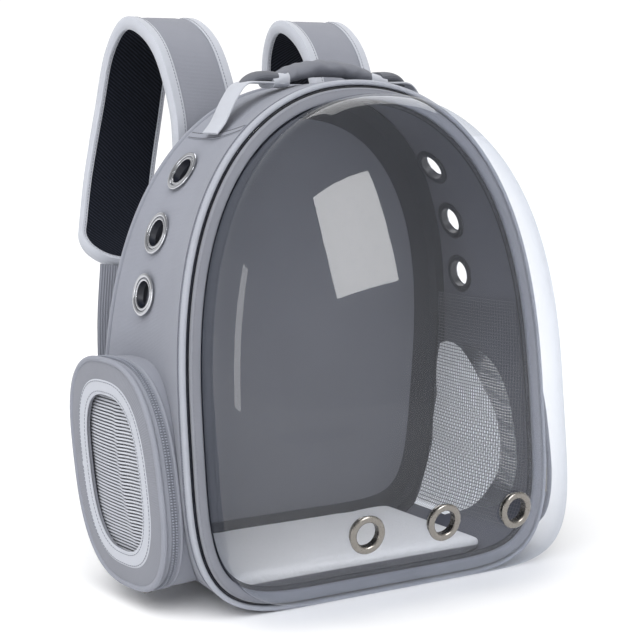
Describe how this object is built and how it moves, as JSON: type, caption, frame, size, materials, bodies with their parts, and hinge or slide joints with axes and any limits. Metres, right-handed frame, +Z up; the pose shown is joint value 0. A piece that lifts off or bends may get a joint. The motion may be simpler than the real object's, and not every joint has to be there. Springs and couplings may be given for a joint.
{
  "type": "bubble pet carrier backpack",
  "caption": "Pet carrier backpack: arched cloth body with a clear bubble front, metal air eyelets, window pockets at the sides, a carry handle and padded shoulder straps.",
  "frame": {"origin": "on the ground under the middle of the whole object's box", "axes": "+Z up, -Y towards the bubble, +Y towards the wearer, +X to the right seen from the bubble's side"},
  "size_m": [0.4098, 0.377, 0.4757],
  "materials": {
    "cloth": "light grey woven polyester",
    "dark_cloth": "dark grey woven polyester",
    "binding": "pale binding tape",
    "webbing": "grey ribbed webbing",
    "zip": "dark nylon zip",
    "strap_mesh": "black ribbed spacer mesh",
    "net": "pale open net",
    "dark_net": "dark square net",
    "plush": "short white plush",
    "clear": "clear formed sheet",
    "chrome": "polished",
    "nickel": "dark polished nickel"
  },
  "bodies": {
    "root": {"side_band": "cloth", "back_panel": "cloth", "floor_mat": "plush", "door_zip": "zip", "door_zip_pull": "nickel", "door_frame": "cloth", "bubble_binding": "binding", "bubble": "clear", "bubble_eyelet_1": "nickel", "bubble_eyelet_2": "nickel", "bubble_eyelet_3": "nickel", "side_eyelet_left_1": "chrome", "side_eyelet_left_2": "chrome", "side_eyelet_left_3": "chrome", "side_eyelet_right_1": "chrome", "side_eyelet_right_2": "chrome", "side_eyelet_right_3": "chrome", "inner_net_left": "dark_net", "inner_net_right": "dark_net", "pocket_wall_left": "cloth", "pocket_zip_left": "zip", "pocket_zip_pull_left": "nickel", "pocket_piping_left": "cloth", "pocket_face_left": "cloth", "window_trim_left": "binding", "window_net_left": "net", "pocket_wall_right": "cloth", "pocket_zip_right": "zip", "pocket_zip_pull_right": "nickel", "pocket_piping_right": "cloth", "pocket_face_right": "cloth", "window_trim_right": "binding", "window_net_right": "net", "strap_pad_left": "cloth", "strap_mesh_left": "strap_mesh", "strap_binding_left": "binding", "strap_webbing_left": "webbing", "strap_pad_right": "cloth", "strap_mesh_right": "strap_mesh", "strap_binding_right": "binding", "strap_webbing_right": "webbing", "handle_grip": "dark_cloth", "handle_webbing_left": "binding", "handle_webbing_right": "binding", "handle_tape_left": "binding", "handle_tape_right": "binding", "handle_flap_left": "dark_cloth", "handle_flap_right": "dark_cloth"}
  },
  "joints": []
}
